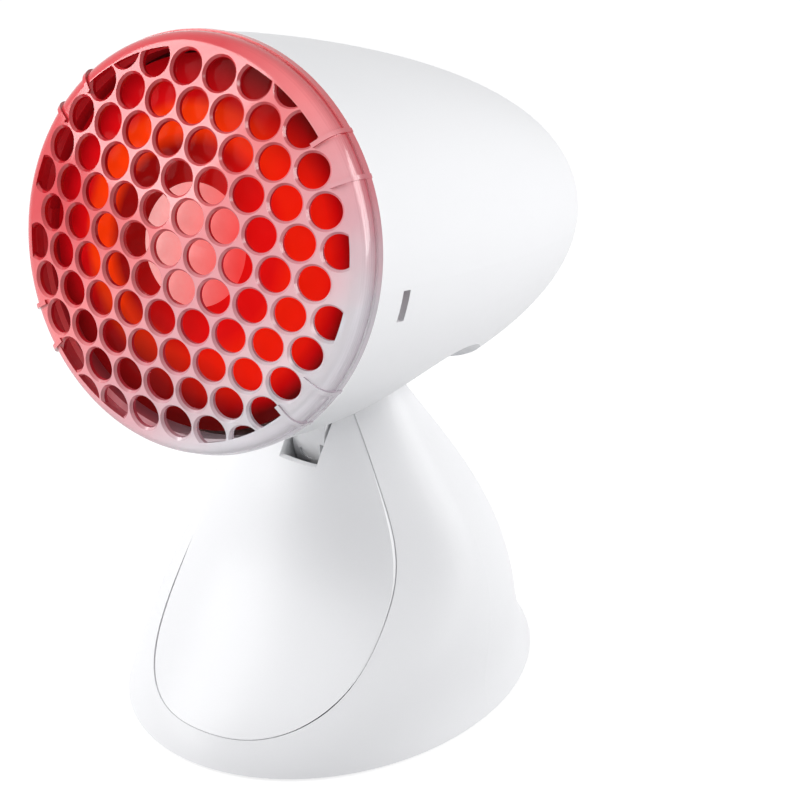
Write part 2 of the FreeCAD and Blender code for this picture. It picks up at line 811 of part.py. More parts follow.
spigot_end = grille_depth + spigot_reach
spigot_radius = bullet_radius(spigot_end, shade_wall) - spigot_clearance
latch_end = grille_depth + latch_reach
latch_radius = bullet_radius(latch_end, shade_wall) - latch_clearance
spigot = tube(spigot_radius, spigot_radius - spigot_thickness,
              vec(0, grille_depth - spigot_thickness, 0), vec(0, spigot_end, 0))
spigot_web = tube(grille_radius - grille_wall / 2, spigot_radius - spigot_thickness,
                  vec(0, grille_depth - spigot_thickness, 0), vec(0, grille_depth, 0))
latch_ring = tube(latch_radius, latch_radius - spigot_thickness,
                  vec(0, grille_depth - spigot_thickness, 0), vec(0, latch_end, 0))
latches = []
for side in (-1, 1):
    x0 = min(0, side * big)
    x1 = max(0, side * big)
    latches.append(latch_ring.common(box(x0, x1, 0, big, -window_drop - latch_width / 2,
                                         -window_drop + latch_width / 2)))

ribs = []
rib_skin = grille_body(rib_rise).cut(grille_hollow)
for base_angle in (rib_angle, 180 - rib_angle, 180 + rib_angle, -rib_angle):
    for side in (-1, 1):
        bar = box(rib_inner_radius, big, -1, grille_depth, -rib_width / 2, rib_width / 2)
        bar = bar.common(rib_skin)
        bar.rotate(vec(0, 0, 0), vec(0, 1, 0), -(base_angle + side * rib_half_spread))
        ribs.append(bar)
grille = grille.fuse([lip, spigot, spigot_web] + latches + ribs)

bevel_slope = (bevel_radius - hole_radius) / bevel_depth
bevel_mouth = bevel_radius + bevel_slope * bevel_overrun
hole_cutter = spun(polygon([
    (0, -bevel_overrun, 0),
    (bevel_mouth, -bevel_overrun, 0),
    (hole_radius, bevel_depth, 0),
    (hole_radius, 2 * grille_wall, 0),
    (0, 2 * grille_wall, 0),
]))
field = rod(hole_field_radius, vec(0, -5, 0), vec(0, grille_depth, 0))
cutters = []
row_rise = hole_pitch * math.sqrt(3) / 2
for j in range(-hole_rings, hole_rings + 1):
    for i in range(-hole_rings, hole_rings + 1):
        corner_hole = j == 0 and abs(i) == hole_rings
        if abs(i + j) > hole_rings or corner_hole:
            continue
        x = (i + j / 2) * hole_pitch
        v = j * row_rise
        r = math.hypot(x, v)
        face_point = vec(x, dome_depth(r), v)
        inward = vec(0, dome_radius, 0).sub(face_point).normalize()
        cutter = hole_cutter.copy()
        if r > 0:
            cutter.rotate(vec(0, 0, 0), vec(0, 1, 0).cross(inward), math.degrees(vec(0, 1, 0).getAngle(inward)))
        cutter.translate(face_point)
        if r + bevel_radius > hole_field_radius:
            cutter = cutter.common(field)
        cutters.append(cutter)
grille = grille.cut(cutters)

# ---------------------------------------------------------------- bulb
lens_back = bulb_front + lens_rim
lens_sphere = (bulb_radius ** 2 + lens_bulge ** 2) / (2 * lens_bulge)


def lens_cap(growth):
    ball = lens_sphere + growth
    apex = bulb_front - lens_bulge - growth
    edge_r = bulb_radius + growth
    edge_s = apex + ball - math.sqrt(ball ** 2 - edge_r ** 2)
    mid_r = edge_r / 2
    mid_s = apex + ball - math.sqrt(ball ** 2 - mid_r ** 2)
    edges = [
        Part.Arc(vec(0, apex, 0), vec(mid_r, mid_s, 0), vec(edge_r, edge_s, 0)).toShape(),
        Part.makeLine(vec(edge_r, edge_s, 0), vec(edge_r, lens_back, 0)),
        Part.makeLine(vec(edge_r, lens_back, 0), vec(0, lens_back, 0)),
        Part.makeLine(vec(0, lens_back, 0), vec(0, apex, 0)),
    ]
    return spun(Part.Wire(edges))


bulb_lens = lens_cap(0).cut(lens_cap(-glass_wall))

bowl_end = lens_back + bowl_depth
skirt_end = bowl_end + bulb_skirt_length


def bowl(inset, overrun):
    points = []
    steps = 8
    for k in range(steps + 1):
        share = 1 - k / steps
        r = bulb_neck_radius + (bulb_radius - bulb_neck_radius) * share ** bowl_power
        s = bowl_end - bowl_depth * share
        points.append(vec(r - inset, s, 0))
    curve = Part.BSplineCurve()
    curve.interpolate(points)
    front = vec(points[0].x, lens_back - overrun, 0)
    skirt_r = bulb_skirt_radius - inset
    edges = [curve.toShape()]
    edges.append(Part.makeLine(points[-1], vec(skirt_r, skirt_end, 0)))
    edges.append(Part.makeLine(vec(skirt_r, skirt_end, 0), vec(0, skirt_end, 0)))
    edges.append(Part.makeLine(vec(0, skirt_end, 0), vec(0, front.y, 0)))
    if overrun > 0:
        edges.append(Part.makeLine(vec(0, front.y, 0), front))
        edges.append(Part.makeLine(front, points[0]))
    else:
        edges.append(Part.makeLine(vec(0, front.y, 0), points[0]))
    return spun(Part.Wire(edges))


bulb_reflector = bowl(0, 0).cut(bowl(glass_wall, 1).cut(
    rod(big, vec(0, skirt_end - glass_wall, 0), vec(0, skirt_end + 1, 0))))

# screw cap: ridged shell on the skirt's end
cap_start = skirt_end
cap_end = cap_start + cap_length


def ridged(radius, start, end, inner):
    """Ridged sleeve, its ridges at the thread's pitch, with a plain bore."""
    points = [vec(inner, start, 0), vec(radius, start, 0)]
    turns = int((end - start - 1) / thread_pitch)
    for k in range(turns):
        base = start + 0.5 + k * thread_pitch
        points.append(vec(radius, base, 0))
        points.append(vec(radius - thread_depth, base + thread_pitch / 2, 0))
    points.append(vec(radius, start + 0.5 + turns * thread_pitch, 0))
    points.append(vec(radius, end, 0))
    points.append(vec(inner, end, 0))
    return spun(Part.makePolygon(points + [points[0]]))


bulb_screw_cap = ridged(cap_radius, cap_start, cap_end, cap_radius - thread_depth - cap_wall)
insulator_end = cap_end + insulator_length
bulb_cap_insulator = Part.makeCone(cap_radius - thread_depth, contact_radius + 1, insulator_length,
                                   vec(0, cap_end, 0), vec(0, 1, 0))
bulb_contact = rod(contact_radius, vec(0, insulator_end, 0), vec(0, insulator_end + contact_length, 0))

# filament coil and its supports
coil_path = Part.makeHelix(coil_wire * 3, 2 * coil_half_length, coil_radius)
coil_profile = Part.Wire(Part.makeCircle(coil_wire, vec(coil_radius, 0, 0), vec(0, 1, 0)))
coil = coil_path.makePipeShell([coil_profile], True, True)
coil.rotate(vec(0, 0, 0), vec(0, 1, 0), 90)
coil.translate(vec(-coil_half_length, coil_s, 0))
bulb_filament = coil
disc_s = coil_s + stem_disc_behind_coil
bulb_stem = rod(stem_radius, vec(0, disc_s, 0), vec(0, skirt_end - glass_wall, 0))
bulb_stem = bulb_stem.fuse(rod(stem_disc_radius, vec(0, disc_s, 0), vec(0, disc_s + stem_disc_thickness, 0)))
supports = []
for side in (-1, 1):
    x = side * (coil_half_length + coil_wire + support_wire + support_gap)
    supports.append(rod(support_wire, vec(x, coil_s - 2 * coil_radius, 0), vec(x, disc_s, 0)))

# ---------------------------------------------------------------- lampholder
holder_front = cap_start + holder_seat
holder_back = holder_front + holder_length
contact_seat = insulator_end + contact_length + gap
shell_inner = cap_radius + shell_clearance
shell_outer = shell_inner + shell_wall
holder_bore = shell_outer + screw_fit
holder = rod(holder_radius, vec(0, holder_front, 0), vec(0, holder_back - holder_step_length, 0))
holder = holder.fuse(rod(holder_step_radius, vec(0, holder_back - holder_step_length, 0),
                         vec(0, holder_back, 0)))
flange_start = bracket_s - holder_flange_thickness
holder = holder.fuse(rod(holder_flange_radius, vec(0, flange_start, 0), vec(0, bracket_s, 0)))
well_end = contact_seat + contact_strip_thickness
holder = holder.cut(rod(holder_bore, vec(0, holder_front - 1, 0), vec(0, well_end, 0)))
holder_shell = tube(shell_outer, shell_inner, vec(0, holder_front + 1, 0), vec(0, contact_seat - 2, 0))
holder_contact = box(-holder_bore * 0.8, holder_bore * 0.8, contact_seat, well_end,
                     -contact_strip_width / 2, contact_strip_width / 2)

# bracket with three arms, clear of the scoop
bracket = rod(holder_flange_radius + bracket_rim, vec(0, bracket_s, 0), vec(0, bracket_s + bracket_thickness, 0))
for x, v in post_spots:
    arm_shape = box(-bracket_arm_width / 2, bracket_arm_width / 2, bracket_s, bracket_s + bracket_thickness,
                    0, post_orbit)
    tip = rod(bracket_arm_width / 2, vec(0, bracket_s, post_orbit), vec(0, bracket_s + bracket_thickness, post_orbit))
    arm_shape = arm_shape.fuse(tip)
    arm_shape.rotate(vec(0, 0, 0), vec(0, 1, 0), math.degrees(math.atan2(x, v)))
    bracket = bracket.fuse(arm_shape)
bracket = bracket.cut(rod(holder_radius + gap, vec(0, bracket_s - 1, 0), vec(0, bracket_s + 5, 0)))
bracket = bracket.cut(box(-big, big, bracket_s - 1, bracket_s + 5, -big, -bracket_trim))
bracket_screws = []
for x, v in post_spots:
    seat = vec(x, bracket_s, v)
    back = vec(0, 1, 0)
    bracket_screws.append(screw(seat, back, screw_bite - gap))
    bracket = bracket.cut(rod(screw_radius + screw_fit, seat.sub(back), seat.add(back * screw_bite)))
holder_screws = []
for side in (-1, 1):
    seat = vec(side * holder_screw_radius, flange_start, 0)
    back = vec(0, 1, 0)
    reach = holder_flange_thickness + bracket_thickness + 1
    holder_screws.append(screw(seat, back, reach))
    hole = rod(screw_radius + screw_fit, seat.sub(back), seat.add(back * (reach + 1)))
    bracket = bracket.cut(hole)
    holder = holder.cut(hole)

# heat shield: dished disc seated on the lampholder's front rim
shield_back = holder_front
shield = tube(shield_radius, shield_bore, vec(0, shield_back - shield_thickness, 0), vec(0, shield_back, 0))
shield = shield.fuse(tube(shield_radius, shield_radius - shield_thickness,
                          vec(0, shield_back - shield_thickness, 0), vec(0, shield_back + shield_lip, 0)))

# ---------------------------------------------------------------- leads
def bent_lead(points):
    """Round lead through the given corners, its bends rounded."""
    edges = []
    last = points[0]
    for k in range(1, len(points) - 1):
        before = points[k - 1].sub(points[k]).normalize()
        after = points[k + 1].sub(points[k]).normalize()
        half = before.getAngle(after) / 2
        cut = bend_radius / math.tan(half)
        arc_start = points[k].add(before * cut)
        arc_end = points[k].add(after * cut)
        bisector = before.add(after).normalize()
        middle = points[k].add(bisector * (bend_radius / math.sin(half) - bend_radius))
        edges.append(Part.makeLine(last, arc_start))
        edges.append(Part.Arc(arc_start, middle, arc_end).toShape())
        last = arc_end
    edges.append(Part.makeLine(last, points[-1]))
    path = Part.Wire(edges)
    heading = points[1].sub(points[0])
    profile = Part.Wire(Part.makeCircle(lead_radius, points[0], heading))
    return path.makePipeShell([profile], True, True)


head_leads = []
channel_s = pivot_back + (channel_near + channel_far) / 2
turn_s = holder_back + 3 * bend_radius
run_v = scoop_v + math.sqrt((scoop_radius + shade_wall) ** 2 - (channel_s - scoop_s) ** 2)
run_v = run_v + lead_radius + lead_clearance
for side in (-1, 1):
    x = side * lead_spacing / 2
    way = [
        vec(x, holder_back, -holder_step_radius / 2),
        vec(x, turn_s, -holder_step_radius / 2),
        vec(x, turn_s, run_v),
        vec(x, channel_s, run_v),
        vec(x, channel_s, -axis_drop - knuckle_radius / 2),
    ]
    head_leads.append(bent_lead(way))

lead_exit_s = (channel_near + channel_far) / 2
lean = math.radians(tilt_rest)
lead_drop = knuckle_radius + 1
stand_leads = []
for side in (-1, 1):
    x = side * lead_spacing / 2
    top = vec(x, pivot_y + lead_exit_s * math.cos(lean) - lead_drop * math.sin(lean),
              pivot_z - lead_exit_s * math.sin(lean) - lead_drop * math.cos(lean))
    knee_z = top.z - bend_radius - 1
    way = [
        top,
        vec(x, top.y, knee_z),
        vec(side * terminal_spacing / 2, lead_hole_y, knee_z),
        vec(side * terminal_spacing / 2, lead_hole_y, plate_top + block_height / 2),
        vec(side * terminal_spacing / 2, block_front, plate_top + block_height / 2),
    ]
    stand_leads.append(bent_lead(way))

# ---------------------------------------------------------------- write every node
os.makedirs("parts", exist_ok=True)
save("stand_front_cover", front_cover)
save("stand_back_housing", back_housing)
save("base_plate", base_plate)
save("rubber_feet", group(feet))
save("base_screws", group(base_screws))
save("cover_screws", group(cover_screws))
save("cord_inlet_bush", cord_inlet_bush)
save("terminal_block", terminal_block)
save("terminal_screws", group(terminal_screws))
save("hinge_bracket", hinge_bracket)
save("hinge_bracket_screws", group(hinge_screws))
save("hinge_pin", hinge_pin)
save("hinge_pin_clip", pin_clip)
save("hinge_thrust_washers", group(thrust_washers))
save("detent_spring", detent_spring)
save("stand_leads", group(stand_leads))
save("shade", to_head(shade))
save("hinge_neck", to_head(neck))
save("neck_screws", to_head(group(neck_screws)))
save("detent_disc", detent_disc)
save("lampholder_bracket", to_head(bracket))
save("lampholder_bracket_screws", to_head(group(bracket_screws)))
save("lampholder_body", to_head(holder))
save("lampholder_screws", to_head(group(holder_screws)))
save("lampholder_screw_shell", to_head(holder_shell))
save("lampholder_contact", to_head(holder_contact))
save("heat_shield", to_head(shield))
save("head_leads", to_head(group(head_leads)))
save("grille", to_head(grille))
save("bulb_lens", to_head(bulb_lens))
save("bulb_reflector", to_head(bulb_reflector))
save("bulb_screw_cap", to_head(bulb_screw_cap))
save("bulb_cap_insulator", to_head(bulb_cap_insulator))
save("bulb_contact", to_head(bulb_contact))
save("bulb_filament", to_head(bulb_filament))
save("bulb_stem", to_head(bulb_stem))
save("bulb_filament_supports", to_head(group(supports)))
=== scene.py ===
import math

import bpy
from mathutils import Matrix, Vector

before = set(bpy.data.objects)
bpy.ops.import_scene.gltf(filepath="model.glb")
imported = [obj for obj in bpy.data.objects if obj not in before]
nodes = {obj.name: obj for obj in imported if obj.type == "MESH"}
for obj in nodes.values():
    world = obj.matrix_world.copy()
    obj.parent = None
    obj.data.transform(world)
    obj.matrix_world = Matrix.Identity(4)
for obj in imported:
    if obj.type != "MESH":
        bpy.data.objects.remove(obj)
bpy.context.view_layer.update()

# The head as it leans at rest, in metres: its own up and back, and the grille's crown, which lies
# crown_reach in front of the hinge pin and crown_rise above it.
tilt = math.radians(14.65)
crown_reach = 0.1168
crown_rise = 0.0718
head_up = Vector((0.0, math.sin(tilt), math.cos(tilt)))
head_back = Vector((0.0, math.cos(tilt), -math.sin(tilt)))
pivot = Vector((0.0, 0.008, 0.097))
crown = pivot - head_back * crown_reach + head_up * crown_rise
shade_radius = 0.068
lens_radius = 0.0605
dome_radius = 0.215
dome_centre = crown + head_back * dome_radius


# ---------------------------------------------------------------- material helpers
def new_material(name):
    """Empty material with a Principled shader on its output."""
    mat = bpy.data.materials.new(name)
    mat.use_nodes = True
    tree = mat.node_tree
    tree.nodes.clear()
    out = tree.nodes.new("ShaderNodeOutputMaterial")
    shader = tree.nodes.new("ShaderNodeBsdfPrincipled")
    tree.links.new(shader.outputs["BSDF"], out.inputs["Surface"])
    return mat, tree, shader, out


def grain(tree, scale, detail=3.0, roughness=0.55):
    """Noise in the object's own space."""
    place = tree.nodes.new("ShaderNodeTexCoord")
    noise = tree.nodes.new("ShaderNodeTexNoise")
    noise.inputs["Scale"].default_value = scale
    noise.inputs["Detail"].default_value = detail
    noise.inputs["Roughness"].default_value = roughness
    tree.links.new(place.outputs["Object"], noise.inputs["Vector"])
    return noise


def bump_from(tree, shader, height, strength, distance):
    """Raise the shader's surface by height, distance being the full rise in metres."""
    bump = tree.nodes.new("ShaderNodeBump")
    bump.inputs["Strength"].default_value = strength
    bump.inputs["Distance"].default_value = distance
    tree.links.new(height, bump.inputs["Height"])
    tree.links.new(bump.outputs["Normal"], shader.inputs["Normal"])


def ramp(tree, source, stops):
    """Colour ramp over source, from (place, colour) stops."""
    node = tree.nodes.new("ShaderNodeValToRGB")
    elements = node.color_ramp.elements
    while len(elements) < len(stops):
        elements.new(0.5)
    for element, (at, colour) in zip(elements, stops):
        element.position = at
        element.color = (*colour, 1.0)
    tree.links.new(source, node.inputs["Fac"])
    return node


def mottle(tree, noise, low, high):
    """Colour that wanders between low and high with the noise."""
    return ramp(tree, noise.outputs["Fac"], [(0.3, low), (0.7, high)]).outputs["Color"]


fine_depth = 0.00005  # metres
sheen_spread = 0.12  # share of the roughness
wide_grain_ratio = 12  # wide grain's size over the fine grain's


def solid(name, colour, rough, metal=0.0, scale=900.0, vary=0.06, bump=0.04, coat=0.0, shine=0.5):
    """Opaque finish with a fine grain in its colour, sheen and surface."""
    mat, tree, shader, _ = new_material(name)
    noise = grain(tree, scale)
    low = tuple(c * (1 - vary) for c in colour)
    tree.links.new(mottle(tree, noise, low, colour), shader.inputs["Base Color"])
    wide = grain(tree, scale / wide_grain_ratio, 2.0)
    spread = tree.nodes.new("ShaderNodeMapRange")
    spread.inputs["To Min"].default_value = rough * (1 - sheen_spread)
    spread.inputs["To Max"].default_value = min(rough * (1 + sheen_spread), 1.0)
    tree.links.new(wide.outputs["Fac"], spread.inputs["Value"])
    tree.links.new(spread.outputs["Result"], shader.inputs["Roughness"])
    shader.inputs["Metallic"].default_value = metal
    shader.inputs["Specular IOR Level"].default_value = shine
    shader.inputs["Coat Weight"].default_value = coat
    shader.inputs["Coat Roughness"].default_value = 0.12
    bump_from(tree, shader, noise.outputs["Fac"], bump, fine_depth)
    return mat


def clear(name, colour, rough, ior, scale=500.0, bump=0.02):
    """See-through finish with a faint grain."""
    mat, tree, shader, _ = new_material(name)
    noise = grain(tree, scale)
    low = tuple(c * 0.97 for c in colour)
    tree.links.new(mottle(tree, noise, low, colour), shader.inputs["Base Color"])
    shader.inputs["Roughness"].default_value = rough
    shader.inputs["IOR"].default_value = ior
    shader.inputs["Transmission Weight"].default_value = 1.0
    bump_from(tree, shader, noise.outputs["Fac"], bump, fine_depth)
    return mat


def put(mat, *names):
    """Give the named pieces one finish."""
    for name in names:
        mesh = nodes[name].data
        mesh.materials.clear()
        mesh.materials.append(mat)


def maths(tree, kind, first, second=0.0):
    """Math node on two numbers or sockets."""
    node = tree.nodes.new("ShaderNodeMath")
    node.operation = kind
    for socket, value in zip(node.inputs, (first, second)):
        if isinstance(value, (int, float)):
            socket.default_value = value
        else:
            tree.links.new(value, socket)
    return node.outputs["Value"]


def vectors(tree, kind, first, second):
    """Vector math node on a socket and a socket or fixed vector."""
    node = tree.nodes.new("ShaderNodeVectorMath")
    node.operation = kind
    tree.links.new(first, node.inputs[0])
    if isinstance(second, Vector):
        node.inputs[1].default_value = second
    else:
        tree.links.new(second, node.inputs[1])
    return node


def along(tree, direction, origin):
    """Distance of a surface point from origin along direction, in metres."""
    place = tree.nodes.new("ShaderNodeTexCoord").outputs["Object"]
    dot = vectors(tree, "DOT_PRODUCT", place, direction)
    return maths(tree, "SUBTRACT", dot.outputs["Value"], direction.dot(origin))


def blend(tree, share, first, second):
    """Colour that goes from first to second as share goes from 0 to 1."""
    node = tree.nodes.new("ShaderNodeMix")
    node.data_type = "RGBA"
    tree.links.new(share, node.inputs["Factor"])
    for socket, value in ((node.inputs["A"], first), (node.inputs["B"], second)):
        if isinstance(value, tuple):
            socket.default_value = (*value, 1.0)
        else:
            tree.links.new(value, socket)
    return node.outputs["Result"]


def clamped(tree, value, low, high):
    """Share from 0 to 1 as value goes from low to high."""
    node = tree.nodes.new("ShaderNodeMapRange")
    node.inputs["From Min"].default_value = low
    node.inputs["From Max"].default_value = high
    tree.links.new(value, node.inputs["Value"])
    return node.outputs["Result"]


# mask for the painted shade on the grille's hole walls
def hole_walls(tree):
    """One on the walls of the dome's holes, zero on its face."""
    place = tree.nodes.new("ShaderNodeTexCoord").outputs["Object"]
    outward = vectors(tree, "SUBTRACT", place, dome_centre).outputs["Vector"]
    unit = tree.nodes.new("ShaderNodeVectorMath")
    unit.operation = "NORMALIZE"
    tree.links.new(outward, unit.inputs[0])
    # the pieces turn with their body, so the normal is taken back to the object's own space
    normal = tree.nodes.new("ShaderNodeVectorTransform")
    normal.vector_type = "NORMAL"
    normal.convert_from = "WORLD"
    normal.convert_to = "OBJECT"
    shape = tree.nodes.new("ShaderNodeNewGeometry")
    tree.links.new(shape.outputs["True Normal"], normal.inputs["Vector"])
    dot = vectors(tree, "DOT_PRODUCT", unit.outputs["Vector"], normal.outputs["Vector"])
    on_face = 0.9
    on_wall = 0.2
    return clamped(tree, maths(tree, "ABSOLUTE", dot.outputs["Value"]), on_face, on_wall)


def glow_painted_clear(name):
    """Milky clear plastic of the grille with the bulb's red light painted on it: painted red glow
    at its upper left, pale at its lower right, painted shade on hole walls and rims, and a faint
    painted glow.
    """
    mat, tree, shader, _ = new_material(name)
    upper_left = (Vector((-0.75, 0.0, 0.0)) + head_up * 0.66).normalized()
    reach = maths(tree, "DIVIDE", along(tree, upper_left, crown), 2 * shade_radius)
    noise = grain(tree, 60.0, 2.0)
    cloud_reach = 0.12
    centred = maths(tree, "SUBTRACT", noise.outputs["Fac"], 0.5)
    cloud = maths(tree, "MULTIPLY", centred, cloud_reach)
    place = maths(tree, "ADD", maths(tree, "ADD", reach, 0.5), cloud)
    # painted glow: the web's colour goes from pale at the lower right to the bulb's red light at
    # the upper left
    web_glow_colour = ramp(tree, place, [
        (0.10, (0.96, 0.95, 0.98)),
        (0.27, (0.94, 0.58, 0.63)),
        (0.55, (0.98, 0.26, 0.27)),
        (0.80, (0.76, 0.05, 0.065)),
    ])
    # painted shade: darker colour for the hole walls, following the painted glow
    wall_shade_colour = ramp(tree, place, [
        (0.10, (0.42, 0.37, 0.41)),
        (0.30, (0.46, 0.07, 0.10)),
        (0.45, (0.44, 0.020, 0.035)),
        (0.80, (0.46, 0.008, 0.015)),
    ])
    facing = tree.nodes.new("ShaderNodeLayerWeight")
    facing.inputs["Blend"].default_value = 0.35
    # painted shade at grazing rims and on the hole walls
    rim_shade = maths(tree, "POWER", facing.outputs["Facing"], 1.8)
    shade = maths(tree, "MAXIMUM", rim_shade, hole_walls(tree))
    colour = blend(tree, shade, web_glow_colour.outputs["Color"], wall_shade_colour.outputs["Color"])
    tree.links.new(colour, shader.inputs["Base Color"])
    # a faint painted glow of the bulb's red light in the plastic, which is no lamp
    tree.links.new(colour, shader.inputs["Emission Color"])
    shader.inputs["Emission Strength"].default_value = 0.10
    least_clear = 0.15
    most_clear = 0.50
    # the plastic is more see-through where the painted glow is pale
    paleness = clamped(tree, place, 0.5, 0.1)
    extra = maths(tree, "MULTIPLY", paleness, most_clear - least_clear)
    clearness = maths(tree, "ADD", extra, least_clear)
    tree.links.new(clearness, shader.inputs["Transmission Weight"])
    shader.inputs["IOR"].default_value = 1.49
    shader.inputs["Roughness"].default_value = 0.16
    shader.inputs["Coat Weight"].default_value = 0.25
    shader.inputs["Coat Roughness"].default_value = 0.05
    bump_from(tree, shader, noise.outputs["Fac"], 0.03, 0.0002)
    return mat


def ring_glass(name):
    """Ruby glass of the bulb's face, moulded in rings, with painted reflections on it: orange
    bands, a left and right split, dark zones above and below a middle band, and a pale disc at its
    centre.
    """
    ring_count = 7
    ring_depth = 0.0004  # metres
    disc_share = 0.33  # of the lens's radius
    disc_cover = 0.85
    skew = 0.35  # how far the shading leans off the upright
    mat, tree, shader, out = new_material(name)
    across = along(tree, Vector((1.0, 0.0, 0.0)), crown)
    upward = along(tree, head_up, crown)
    across_square = maths(tree, "MULTIPLY", across, across)
    upward_square = maths(tree, "MULTIPLY", upward, upward)
    square = maths(tree, "ADD", across_square, upward_square)
    radius = maths(tree, "DIVIDE", maths(tree, "SQRT", square), lens_radius)
    # painted reflections: orange and dark bands over the ruby, one set for the left of the face
    # and one for the right
    left_painted_bands = ramp(tree, radius, [
        (0.30, (0.22, 0.004, 0.004)),
        (0.52, (0.26, 0.004, 0.004)),
        (0.61, (0.88, 0.045, 0.003)),
        (0.72, (0.84, 0.042, 0.003)),
        (0.78, (0.62, 0.004, 0.006)),
        (1.00, (0.50, 0.004, 0.010)),
    ])
    right_painted_bands = ramp(tree, radius, [
        (0.30, (0.72, 0.006, 0.006)),
        (0.50, (0.75, 0.006, 0.006)),
        (0.60, (0.88, 0.016, 0.004)),
        (0.80, (0.86, 0.012, 0.004)),
        (0.88, (0.55, 0.003, 0.004)),
        (0.95, (0.10, 0.003, 0.003)),
    ])
    lean = maths(tree, "ADD", across, maths(tree, "MULTIPLY", upward, -skew))
    side = clamped(tree, lean, -0.02, 0.02)
    face = blend(tree, side, left_painted_bands.outputs["Color"], right_painted_bands.outputs["Color"])
    # painted dark reflections: the glass darkens above and below a band through its middle
    band_rise = 0.005
    band_from, band_to = 0.034, 0.056
    band_share = 0.8
    slanted = maths(tree, "ADD", upward, maths(tree, "MULTIPLY", across, skew))
    height = maths(tree, "ABSOLUTE", maths(tree, "SUBTRACT", slanted, band_rise))
    dark_zone_share = maths(tree, "MULTIPLY", clamped(tree, height, band_from, band_to), band_share)
    glass = blend(tree, dark_zone_share, face, (0.10, 0.004, 0.004))
    tree.links.new(glass, shader.inputs["Base Color"])
    # the lens glows as the lit bulb, its painted reflections with it
    tree.links.new(glass, shader.inputs["Emission Color"])
    shader.inputs["Emission Strength"].default_value = 0.28
    shader.inputs["Specular IOR Level"].default_value = 0.015
    shader.inputs["Roughness"].default_value = 0.06
    shader.inputs["IOR"].default_value = 1.5
    rings = maths(tree, "SINE", maths(tree, "MULTIPLY", radius, math.tau * ring_count))
    bump_from(tree, shader, rings, 0.08, ring_depth)
    # painted reflection of a round lamp: a pale, glowing disc at the centre, pink at its left and
    # red at its right
    disc_reflection_shader = tree.nodes.new("ShaderNodeBsdfPrincipled")
    disc_reflection = mottle(tree, grain(tree, 800.0), (0.95, 0.46, 0.44), (0.98, 0.52, 0.50))
    right = clamped(tree, across, -0.016, 0.018)
    disc_reflection_colour = blend(tree, right, disc_reflection, (0.86, 0.045, 0.04))
    tree.links.new(disc_reflection_colour, disc_reflection_shader.inputs["Base Color"])
    disc_reflection_shader.inputs["Roughness"].default_value = 0.45
    tree.links.new(disc_reflection_colour, disc_reflection_shader.inputs["Emission Color"])
    disc_reflection_shader.inputs["Emission Strength"].default_value = 0.30
    inside = maths(tree, "LESS_THAN", radius, disc_share)
    mix = tree.nodes.new("ShaderNodeMixShader")
    tree.links.new(maths(tree, "MULTIPLY", inside, disc_cover), mix.inputs["Fac"])
    tree.links.new(shader.outputs["BSDF"], mix.inputs[1])
    tree.links.new(disc_reflection_shader.outputs["BSDF"], mix.inputs[2])
    tree.links.new(mix.outputs["Shader"], out.inputs["Surface"])
    return mat


# ---------------------------------------------------------------- finishes
white = solid("white_satin_plastic", (0.875, 0.877, 0.888), 0.34,
              scale=2600.0, vary=0.02, bump=0.05, shine=0.25)
pale = solid("pale_matt_plastic", (0.70, 0.71, 0.73), 0.5, scale=1800.0)
rubber = solid("foot_rubber", (0.03, 0.03, 0.032), 0.75, scale=1500.0, vary=0.2, bump=0.15)
steel = solid("zinc_plated_steel", (0.62, 0.63, 0.65), 0.34, metal=1.0, scale=1200.0, vary=0.15)
spring = solid("spring_steel", (0.45, 0.47, 0.50), 0.25, metal=1.0, scale=1600.0, vary=0.1)
brass = solid("brass", (0.80, 0.60, 0.28), 0.28, metal=1.0, scale=1400.0, vary=0.12)
plated = solid("plated_cap", (0.78, 0.72, 0.58), 0.3, metal=1.0, scale=1400.0, vary=0.12)
porcelain = solid("glazed_porcelain", (0.85, 0.84, 0.79), 0.18, scale=700.0, vary=0.04, coat=0.4)
bright = solid("bright_aluminium", (0.80, 0.81, 0.82), 0.22, metal=1.0, scale=1100.0, vary=0.08)
sleeve = solid("lead_sleeve", (0.78, 0.76, 0.70), 0.6, scale=1500.0, vary=0.08)
moulded = solid("terminal_plastic", (0.78, 0.77, 0.72), 0.45, scale=1500.0, vary=0.05)
washer = solid("washer_plastic", (0.82, 0.82, 0.79), 0.4, scale=1500.0, vary=0.05)
black = solid("black_insulator", (0.02, 0.02, 0.025), 0.15, scale=900.0, vary=0.1)
tungsten = solid("tungsten_wire", (0.30, 0.29, 0.28), 0.35, metal=1.0, scale=2500.0, vary=0.1)
mirror = solid("mirrored_glass", (0.92, 0.36, 0.28), 0.06,
               metal=1.0, scale=300.0, vary=0.05, bump=0.01)
crystal = glow_painted_clear("clear_plastic_painted_glow")
ruby = ring_glass("ruby_ring_glass")
stem_glass = clear("stem_glass", (0.95, 0.97, 0.97), 0.02, 1.5)

put(white, "shade", "stand_front_cover", "stand_back_housing", "hinge_neck")
put(pale, "base_plate", "cord_inlet_bush")
put(rubber, "rubber_feet")
put(steel, "base_screws", "cover_screws", "hinge_bracket", "hinge_bracket_screws", "hinge_pin",
    "detent_disc", "neck_screws", "lampholder_bracket", "lampholder_bracket_screws",
    "lampholder_screws")
put(spring, "hinge_pin_clip", "detent_spring")
put(washer, "hinge_thrust_washers")
put(moulded, "terminal_block")
put(brass, "terminal_screws", "lampholder_screw_shell", "lampholder_contact")
put(sleeve, "stand_leads", "head_leads")
put(porcelain, "lampholder_body")
put(bright, "heat_shield")
put(crystal, "grille")
put(ruby, "bulb_lens")
put(mirror, "bulb_reflector")
put(plated, "bulb_screw_cap", "bulb_contact")
put(black, "bulb_cap_insulator")
put(tungsten, "bulb_filament", "bulb_filament_supports")
put(stem_glass, "bulb_stem")


